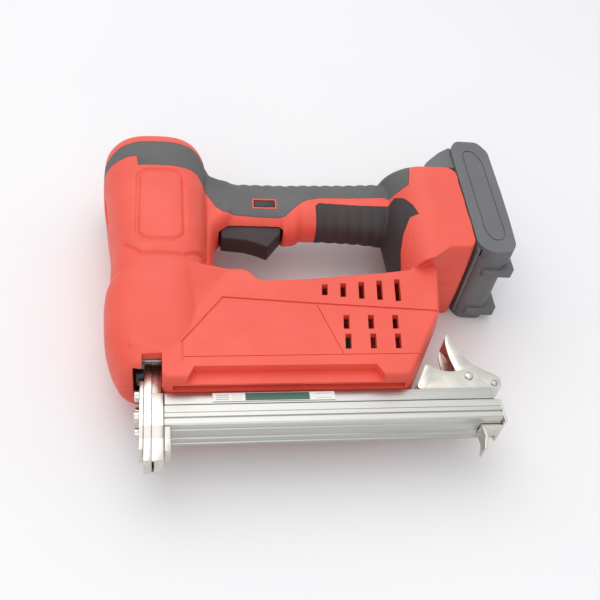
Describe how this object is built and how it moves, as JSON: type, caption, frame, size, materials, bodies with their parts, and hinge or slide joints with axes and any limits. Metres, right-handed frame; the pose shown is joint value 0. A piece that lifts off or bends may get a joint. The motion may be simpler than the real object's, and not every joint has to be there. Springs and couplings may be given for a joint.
{
  "type": "cordless brad nailer",
  "caption": "Cordless electric brad and staple nailer with D-shaped handle, under-slung slide magazine, steel nose, trigger and slide-on battery pack.",
  "frame": {"origin": "centre of the bounding box at its lowest face, with the tool lying on its right side", "axes": "+X from the nose side of the head towards the battery, +Y from the nose tip to the head cap, +Z the tool's left side, upward as it lies"},
  "size_m": [0.2988, 0.271, 0.075],
  "materials": {
    "red_shell": "fine matte moulded plastic",
    "grey_grip": "soft matte overmoulding",
    "dark_grip": "matte moulded plastic",
    "pack_shell": "matte moulded plastic",
    "cell_sleeve": "shrink-wrapped steel can",
    "black_plastic": "moulded plastic",
    "black_steel": "blackened steel",
    "satin_aluminium": "satin extrusion",
    "nickel_plate": "bright nickel plating on steel",
    "copper_wire": null,
    "black_rubber": "plain",
    "board_laminate": "lacquered glass laminate",
    "label_film": "plain printed film without lettering",
    "plain_steel": "machined"
  },
  "bodies": {
    "tool": {"bumper": "black_rubber", "capacitor": "black_plastic", "coil_bobbin": "black_plastic", "control_board": "board_laminate", "housing_screw_1": "plain_steel", "housing_screw_2": "plain_steel", "housing_screw_3": "plain_steel", "housing_screw_4": "plain_steel", "housing_screw_5": "plain_steel", "housing_screw_6": "plain_steel", "housing_screw_7": "plain_steel", "left_housing": "red_shell", "left_lower_grip": "dark_grip", "left_upper_grip": "grey_grip", "lever_pin": "plain_steel", "lever_spring": "plain_steel", "magazine_label": "label_film", "magazine_rail": "satin_aluminium", "nose_bolt_1": "black_steel", "nose_bolt_2": "black_steel", "nose_front_plate": "nickel_plate", "nose_guide_plate": "nickel_plate", "nose_mount": "satin_aluminium", "nose_rear_block": "nickel_plate", "nose_screw_1": "nickel_plate", "nose_screw_2": "nickel_plate", "nose_screw_3": "nickel_plate", "nose_screw_4": "nickel_plate", "rear_bracket": "nickel_plate", "return_spring": "plain_steel", "right_housing": "red_shell", "right_lower_grip": "dark_grip", "right_upper_grip": "grey_grip", "solenoid_coil": "copper_wire", "solenoid_yoke": "plain_steel", "stop_rivet": "plain_steel", "terminal_block": "black_plastic", "trigger_pin": "plain_steel", "trigger_spring": "plain_steel", "trigger_switch": "black_plastic", "yoke_plate": "plain_steel"},
    "trigger": {"trigger": "dark_grip"},
    "lock": {"lock_slider": "black_plastic"},
    "driver": {"plunger": "plain_steel", "driver_blade": "plain_steel"},
    "magazine_drawer": {"magazine_slide": "satin_aluminium", "slide_front_catch": "nickel_plate", "slide_end_plate": "nickel_plate", "pusher_rod": "plain_steel", "pusher_spring": "plain_steel"},
    "pusher": {"pusher": "plain_steel"},
    "lever": {"release_lever": "nickel_plate"},
    "battery": {"battery_case": "pack_shell", "battery_cover": "pack_shell", "battery_cell_1": "cell_sleeve", "battery_cell_2": "cell_sleeve", "battery_cell_3": "cell_sleeve", "battery_cell_4": "cell_sleeve", "battery_cell_5": "cell_sleeve"},
    "battery_latch": {"battery_button": "black_plastic"}
  },
  "joints": [
    {"name": "trigger_hinge", "type": "hinge", "parent": "tool", "child": "trigger", "pos_m": [-0.056, 0.061, 0.0375], "axis": [0, 0, 1], "range_deg": [0, 6], "stiffness_Nm_per_rad": 0.2, "springref_deg": -8.59, "deforming": ["trigger_spring"]},
    {"name": "lock_slide", "type": "slide", "parent": "tool", "child": "lock", "axis": [0, 0, 1], "range_m": [-0.002, 0.002]},
    {"name": "driver_slide", "type": "slide", "parent": "tool", "child": "driver", "axis": [0, -1, 0], "range_m": [0, 0.04], "stiffness_N_per_m": 150, "springref_m": -0.03, "deforming": ["return_spring"]},
    {"name": "drawer_slide", "type": "slide", "parent": "tool", "child": "magazine_drawer", "axis": [1, 0, 0], "range_m": [0, 0.13]},
    {"name": "pusher_slide", "type": "slide", "parent": "magazine_drawer", "child": "pusher", "axis": [1, 0, 0], "range_m": [0, 0.15], "stiffness_N_per_m": 20, "springref_m": -0.05, "deforming": ["pusher_spring"]},
    {"name": "lever_hinge", "type": "hinge", "parent": "tool", "child": "lever", "pos_m": [0.092, -0.083, 0.0375], "axis": [0, 0, 1], "range_deg": [0, 12], "stiffness_Nm_per_rad": 0.3, "springref_deg": -14.32},
    {"name": "battery_slide", "type": "slide", "parent": "tool", "child": "battery", "axis": [0.0332, 0.9995, 0], "range_m": [0, 0.1]},
    {"name": "latch_press", "type": "slide", "parent": "battery", "child": "battery_latch", "axis": [-0.0332, -0.9995, 0], "range_m": [0, 0.002], "stiffness_N_per_m": 300, "springref_m": -0.004}
  ]
}
